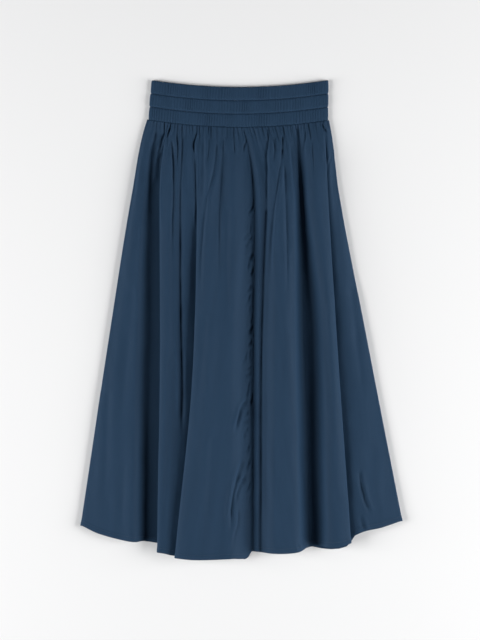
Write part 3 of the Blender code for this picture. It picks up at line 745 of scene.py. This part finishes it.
def wall_of_cloth(piece, row, way):
    """Gives the sheet its thin wall, thicker in the turned hem."""
    plain = CLOTH_THICKNESS / HEM_THICKNESS
    share = plain + (1.0 - plain) * in_turned_hem(distance_to_hem(way))
    group = piece.vertex_groups.new(name="doubled_hem")
    for index, weight in enumerate(share):
        group.add([int(v) for v in np.flatnonzero(row == index)], float(weight), "REPLACE")
    wall = piece.modifiers.new("thin_wall", "SOLIDIFY")
    wall.thickness = HEM_THICKNESS * MILLIMETRE
    wall.offset = 0.0
    wall.vertex_group = group.name
    bpy.context.view_layer.objects.active = piece
    bpy.ops.object.modifier_apply(modifier=wall.name)
    piece.vertex_groups.clear()


def cloth_panel(name, points, way, material):
    piece, row = grid_piece(name, points)
    wall_of_cloth(piece, row, way)
    bpy.ops.object.shade_smooth()
    piece.data.materials.append(material)
    return piece


def rib_height(across, rise):
    """Height of the shirring: uneven ribs that shift a little from one channel to the next."""
    channel = np.floor(np.clip(rise / BAND_HEIGHT * CHANNELS, 0.0, CHANNELS - 0.001))
    drift = 0.32 * np.sin(17.0 * across + 1.9 * channel)
    drift += 0.22 * np.sin(41.0 * across + 3.1 * channel)
    phase = RIBS * across + drift
    strength = 0.85 + 0.22 * np.sin(23.0 * across + 2.7 * channel)
    strength += 0.14 * np.sin(61.0 * across + channel)
    fine = 0.22 * np.sin(2.0 * math.pi * (2.0 * phase + 0.3 * np.sin(9.0 * across)))
    return strength * (np.sin(2.0 * math.pi * phase) + fine)


def channel_puff(rise):
    """Puff of the channels: full between the stitch lines, none on them."""
    share = (rise / BAND_HEIGHT * CHANNELS) % 1.0
    return float(np.clip(np.sin(math.pi * share), 0.0, 1.0) ** CHANNEL_FULLNESS)


def groove_depth(rise):
    """How far the band is drawn in along its two lines of channel stitching."""
    depth = 0.0
    for line in range(1, CHANNELS):
        away = rise - line * BAND_HEIGHT / CHANNELS
        depth += GROOVE_DEPTH * math.exp(-(away / GROOVE_HALF_WIDTH) ** 2)
    return depth


def waistband_points():
    """Closed loops round the band's wall: up the outside, over the top, down the inside."""
    front = np.linspace(0.0, 1.0, FRONT_RIB_STEPS * RIBS + 1)
    turn = np.linspace(90.0, -90.0, 11)[1:-1]
    under = np.linspace(1.0, 0.0, UNDER_RIB_STEPS * RIBS + 1)
    share = np.concatenate((front, np.ones(len(turn)), under, np.zeros(len(turn)), [0.0]))
    angle = np.concatenate((
        np.full(len(front), 90.0), turn, np.full(len(under), -90.0), -180.0 + turn, [90.0 - 360.0],
    ))
    turning = soft_step(*BAND_TURN_ANGLES, turn)
    on_front = np.concatenate((
        np.ones(len(front)), turning, np.zeros(len(under)), turning[::-1], [1.0],
    ))
    under_ribs = (np.abs(angle + 90.0) < 0.5).astype(float)
    shares = np.array(RING_SHARES)
    outer_rises = [(channel + shares) * BAND_HEIGHT / CHANNELS for channel in range(CHANNELS)]
    inner_rises = np.linspace(BAND_HEIGHT - 1.2, 1.0, 14)
    outer = BAND_WALL + BAND_INNER_GAP / 2
    inner = BAND_INNER_GAP / 2
    rings = [(rise, outer, channel_puff(rise)) for rise in np.concatenate(outer_rises)]
    for turned in np.linspace(0.0, 1.0, 7) * math.pi:
        radius = (outer + inner) / 2 + (outer - inner) / 2 * math.cos(turned)
        rings.append((BAND_HEIGHT - TOP_ROUNDING + TOP_ROUNDING * math.sin(turned), radius, 0.0))
    rings += [(rise, inner, 0.0) for rise in inner_rises]
    rings.append((0.0, outer, 0.0))
    rows = []
    for rise, radius, puff in rings:
        share_up = rise / BAND_HEIGHT
        width = BAND_SEAM_WIDTH + (BAND_TOP_WIDTH - BAND_SEAM_WIDTH) * share_up
        centre = BAND_SEAM_CENTRE + (BAND_TOP_CENTRE - BAND_SEAM_CENTRE) * share_up
        ribs = rib_height(share, rise)
        out = radius
        if radius > inner:
            raised = puff * CHANNEL_PUFF - groove_depth(rise) + (0.7 + 0.3 * puff) * ribs * RIB_RISE
            hollowed = (0.3 + 0.7 * puff) * UNDER_RIB_RISE * (1.0 + np.clip(ribs, -1.0, 1.0))
            out = radius + (on_front * raised - under_ribs * hollowed)
        x = centre + (width - 2.0 * outer) * (share - 0.5)
        edge_wave = TOP_EDGE_WAVE * on_front * ribs * (share_up > TOP_EDGE_FROM)
        rows.append(np.stack((
            x + out * np.cos(np.radians(angle)), band_line_y(x, rise) + edge_wave,
            outer + out * np.sin(np.radians(angle)),
        ), axis=-1))
    return np.array(rows)


def channel_line(points, channel):
    """Line of stitching in a groove of the band, smoothed over the ribs, with its normals."""
    margin = STITCH_SMOOTHING // 2
    row = channel * len(RING_SHARES)
    line = points[row, margin:FRONT_RIB_STEPS * RIBS + 1 - margin].copy()
    window = np.ones(STITCH_SMOOTHING) / STITCH_SMOOTHING
    for axis in (1, 2):
        padded = np.pad(line[:, axis], margin, mode="edge")
        line[:, axis] = np.convolve(padded, window, mode="valid")
    return line, np.tile((0.0, 0.0, 1.0), (len(line), 1))


def hem_line(points, way, outward):
    """Line of stitching on one side of a turned hem, with its normals."""
    row = int(np.argmin(np.abs(distance_to_hem(way) - HEM_STITCH_LINE)))
    normals = outward * normals_of(points)[row]
    return points[row] + normals * HEM_STITCH_HEIGHT, normals


def waistband_piece(points, material):
    piece, _ = grid_piece("waistband_shirred", points)
    bpy.ops.object.mode_set(mode="EDIT")
    bpy.ops.mesh.select_all(action="SELECT")
    bpy.ops.mesh.remove_doubles(threshold=0.00002)
    bpy.ops.mesh.normals_make_consistent(inside=False)
    bpy.ops.object.mode_set(mode="OBJECT")
    bpy.ops.object.shade_smooth()
    piece.data.materials.append(material)
    return piece


def one_stitch():
    """Points and faces of one stitch of thread, along X: six sides, with rounded ends."""
    bpy.ops.mesh.primitive_uv_sphere_add(
        segments=6, ring_count=4, radius=1.0, rotation=(0.0, math.pi / 2, 0.0),
    )
    stitch = bpy.context.object
    bpy.ops.object.transform_apply(location=False, rotation=True, scale=False)
    points = np.array([vertex.co[:] for vertex in stitch.data.vertices])
    faces = [tuple(face.vertices) for face in stitch.data.polygons]
    mesh = stitch.data
    bpy.data.objects.remove(stitch, do_unlink=True)
    bpy.data.meshes.remove(mesh)
    return points, faces


def stitches(name, line, up, material):
    """A run of stitches laid on a line of points in millimetres."""
    form, form_faces = one_stitch()
    run = np.concatenate(([0.0], np.cumsum(norm(np.diff(line, axis=0), axis=1))))
    points, faces = [], []
    for start in np.arange(0.5 * STITCH_GAP, run[-1] - STITCH_LENGTH, STITCH_LENGTH + STITCH_GAP):
        first, last = (
            np.array([np.interp(at, run, line[:, axis]) for axis in range(3)])
            for at in (start, start + STITCH_LENGTH)
        )
        place = np.interp(start + STITCH_LENGTH / 2, run, np.arange(len(run)))
        along = last - first
        along /= norm(along)
        across = np.cross(up[int(round(place))], along)
        across /= norm(across)
        raised = np.cross(along, across)
        middle = (first + last) / 2 + raised * THREAD_RADIUS * THREAD_PROUD
        base = len(points) * len(form)
        points.append(middle + (
            form[:, 0:1] * along * STITCH_LENGTH / 2
            + form[:, 1:2] * across * THREAD_RADIUS + form[:, 2:3] * raised * THREAD_RADIUS
        ))
        faces.extend(tuple(base + corner for corner in face) for face in form_faces)
    mesh = bpy.data.meshes.new(name)
    mesh.from_pydata((np.concatenate(points) * MILLIMETRE).tolist(), [], faces)
    mesh.update()
    mesh.shade_smooth()
    mesh.materials.append(material)
    piece = bpy.data.objects.new(name, mesh)
    bpy.context.scene.collection.objects.link(piece)
    return piece


# Finishes
def set_inputs(node, values):
    for label, value in values.items():
        node.inputs[label].default_value = value


def woven_cloth_group():
    """Fine plain weave with slubs, soft crinkles and uneven colour, on the cloth's own UV map."""
    tree = bpy.data.node_groups.new("woven_cloth", "ShaderNodeTree")
    join = tree.links.new
    for label, kind, value in (
        ("Cloth", "Vector", (0.0, 0.0, 0.0)), ("Colour", "Color", NAVY),
        ("Deep Colour", "Color", NAVY_DARK), ("Thread Pitch", "Float", 0.00045),
        ("Crinkle Size", "Float", 0.02), ("Crinkle Depth", "Float", 0.5),
        ("Roughness", "Float", 0.5),
    ):
        socket = tree.interface.new_socket(label, in_out="INPUT", socket_type="NodeSocket" + kind)
        socket.default_value = value
    for label, kind in (("Colour", "Color"), ("Roughness", "Float"), ("Height", "Float")):
        tree.interface.new_socket(label, in_out="OUTPUT", socket_type="NodeSocket" + kind)
    source = tree.nodes.new("NodeGroupInput").outputs
    result = tree.nodes.new("NodeGroupOutput").inputs

    def feed(socket, value):
        """Sets a socket to a number, or joins it to another socket."""
        if isinstance(value, (int, float)):
            socket.default_value = value
        else:
            join(value, socket)

    def maths(operation, first, second=None):
        node = tree.nodes.new("ShaderNodeMath")
        node.operation = operation
        feed(node.inputs[0], first)
        if second is not None:
            feed(node.inputs[1], second)
        return node.outputs[0]

    def noise(scale, detail, stretch):
        move = tree.nodes.new("ShaderNodeVectorMath")
        move.operation = "MULTIPLY"
        join(source["Cloth"], move.inputs[0])
        move.inputs[1].default_value = stretch
        made = tree.nodes.new("ShaderNodeTexNoise")
        feed(made.inputs["Scale"], scale)
        made.inputs["Detail"].default_value = detail
        join(move.outputs[0], made.inputs["Vector"])
        return made.outputs["Fac"]

    def swing(value, reach):
        """The value's swing about its middle, times a reach."""
        return maths("MULTIPLY", maths("SUBTRACT", value, 0.5), reach)

    split = tree.nodes.new("ShaderNodeSeparateXYZ")
    join(source["Cloth"], split.inputs[0])
    turns = maths("DIVIDE", 2.0 * math.pi, source["Thread Pitch"])
    warp = maths("SINE", maths("MULTIPLY", split.outputs[0], turns))
    weft = maths("SINE", maths("MULTIPLY", split.outputs[1], turns))
    weave = maths("MULTIPLY", warp, weft)
    slub_down = noise(900.0, 2.0, (1.0, 0.04, 1.0))
    slub_across = noise(900.0, 2.0, (0.04, 1.0, 1.0))
    slubs = maths("ADD", slub_down, slub_across)
    patches = noise(9.0, 4.0, (1.0, 0.55, 1.0))
    streaks = noise(70.0, 2.0, (1.0, 0.06, 1.0))
    crinkle = noise(maths("DIVIDE", 1.0, source["Crinkle Size"]), 3.0, (1.0, 0.3, 1.0))

    shade = maths("ADD", maths("MULTIPLY", slubs, 0.35), maths("MULTIPLY", patches, 0.5))
    shade = maths("SUBTRACT", maths("ADD", shade, swing(streaks, 1.1)), 0.1)
    mixed = tree.nodes.new("ShaderNodeMix")
    mixed.data_type = "RGBA"
    join(shade, mixed.inputs["Factor"])
    join(source["Deep Colour"], mixed.inputs[6])
    join(source["Colour"], mixed.inputs[7])
    join(mixed.outputs[2], result["Colour"])
    join(maths("ADD", source["Roughness"], swing(patches, 0.16)), result["Roughness"])
    height = maths("ADD", maths("MULTIPLY", weave, 0.05), maths("MULTIPLY", slubs, 0.12))
    creased = maths("MULTIPLY", crinkle, source["Crinkle Depth"])
    join(maths("ADD", height, creased), result["Height"])
    return tree


def new_material(name):
    material = bpy.data.materials.new(name)
    material.use_nodes = True
    return material, material.node_tree, material.node_tree.nodes["Principled BSDF"]


def cloth_material(name, group, roughness, crinkle_size, crinkle_depth):
    material, tree, shader = new_material(name)
    join = tree.links.new
    place = tree.nodes.new("ShaderNodeUVMap")
    place.uv_map = "cloth"
    cloth = tree.nodes.new("ShaderNodeGroup")
    cloth.node_tree = group
    join(place.outputs[0], cloth.inputs["Cloth"])
    set_inputs(cloth, {
        "Roughness": roughness, "Crinkle Size": crinkle_size, "Crinkle Depth": crinkle_depth,
    })
    bump = tree.nodes.new("ShaderNodeBump")
    set_inputs(bump, {"Distance": MILLIMETRE, "Strength": 0.9})
    join(cloth.outputs["Height"], bump.inputs["Height"])
    join(cloth.outputs["Colour"], shader.inputs["Base Color"])
    join(cloth.outputs["Roughness"], shader.inputs["Roughness"])
    join(bump.outputs[0], shader.inputs["Normal"])
    set_inputs(shader, {
        "Specular IOR Level": 0.12, "Sheen Weight": 0.05, "Sheen Roughness": 0.45,
        "Sheen Tint": SHEEN_BLUE,
    })
    return material


def thread_material():
    material, tree, shader = new_material("navy_thread")
    join = tree.links.new
    place = tree.nodes.new("ShaderNodeTexCoord")
    twist = tree.nodes.new("ShaderNodeTexWave")
    twist.bands_direction = "DIAGONAL"
    twist.inputs["Scale"].default_value = 900.0
    join(place.outputs["Object"], twist.inputs["Vector"])
    shade = tree.nodes.new("ShaderNodeMix")
    shade.data_type = "RGBA"
    set_inputs(shade, {6: THREAD_DARK, 7: THREAD_LIGHT})
    join(twist.outputs["Fac"], shade.inputs["Factor"])
    join(shade.outputs[2], shader.inputs["Base Color"])
    bump = tree.nodes.new("ShaderNodeBump")
    bump.inputs["Distance"].default_value = 0.1 * MILLIMETRE
    join(twist.outputs["Fac"], bump.inputs["Height"])
    join(bump.outputs[0], shader.inputs["Normal"])
    shader.inputs["Roughness"].default_value = 0.42
    return material


# Floor, light and camera
def pale_floor():
    bpy.ops.mesh.primitive_plane_add(size=FLOOR_SIZE, location=(0.0, 0.0, FLOOR_HEIGHT))
    floor = bpy.context.object
    floor.name = "pale_floor"
    material, _, shader = new_material("pale_floor")
    set_inputs(shader, {"Base Color": FLOOR_WHITE, "Roughness": 0.9, "Specular IOR Level": 0.1})
    floor.data.materials.append(material)


def soft_lamp(name, place, size_x, size_y, watts):
    """An area lamp that points at the middle of the skirt."""
    lamp = bpy.data.lights.new(name, "AREA")
    lamp.shape = "RECTANGLE"
    lamp.size = size_x
    lamp.size_y = size_y
    lamp.energy = watts
    made = bpy.data.objects.new(name, lamp)
    bpy.context.scene.collection.objects.link(made)
    made.location = place
    made.rotation_euler = Vector([-value for value in place]).to_track_quat("-Z", "Y").to_euler()


def studio():
    """Soft light from both sides, a faint pale world, and the camera straight above."""
    for softbox in SOFTBOXES:
        soft_lamp(*softbox)
    scene = bpy.context.scene
    world = bpy.data.worlds.new("pale_studio")
    world.use_nodes = True
    set_inputs(world.node_tree.nodes["Background"], {"Color": WORLD_WHITE, "Strength": 0.1})
    scene.world = world
    scene.view_settings.view_transform = "Standard"
    camera = bpy.data.cameras.new("camera")
    camera.lens = CAMERA_LENS
    camera.clip_end = 50.0
    made = bpy.data.objects.new("camera", camera)
    scene.collection.objects.link(made)
    made.location = CAMERA_PLACE
    scene.camera = made


# Making
woven = woven_cloth_group()
skirt_cloth = cloth_material("skirt_cloth", woven, *SKIRT_FINISH)
band_cloth = cloth_material("waistband_cloth", woven, *BAND_FINISH)
thread = thread_material()

front_way = rows_down(*FRONT_ROWS)
back_way = rows_down(*BACK_ROWS)
left_points = front_points(
    left_front_section, front_way, LEFT_GATHERS, LEFT_CREASES, SEAM_PUCKERS, LEFT_SWELL_PHASE,
)
right_points = front_points(
    right_front_section, front_way, RIGHT_GATHERS, RIGHT_CREASES, (), RIGHT_SWELL_PHASE,
)
under_points = back_points(back_way)
left_front = cloth_panel("front_left_cloth", left_points, front_way, skirt_cloth)
right_front = cloth_panel("front_right_cloth", right_points, front_way, skirt_cloth)
back = cloth_panel("back_cloth", under_points, back_way, skirt_cloth)
band_points = waistband_points()
band = waistband_piece(band_points, band_cloth)
pale_floor()

sewing = {}
for label, line, normals in (
    ("hem_stitching_left", *hem_line(left_points, front_way, 1.0)),
    ("hem_stitching_right", *hem_line(right_points, front_way, 1.0)),
    ("hem_stitching_back", *hem_line(under_points, back_way, -1.0)),
    ("channel_stitching_lower", *channel_line(band_points, 1)),
    ("channel_stitching_upper", *channel_line(band_points, 2)),
):
    sewing[label] = stitches(label, line, normals, thread)

for piece, node, slot in (
    (left_front, "front_left_panel", "skirt_cloth"),
    (right_front, "front_right_panel", "skirt_cloth"),
    (back, "back_panel", "skirt_cloth"), (band, "waistband", "waistband_cloth"),
):
    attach(piece, "root")
    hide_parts(node)
for label, piece in sewing.items():
    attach(piece, "root")

studio()
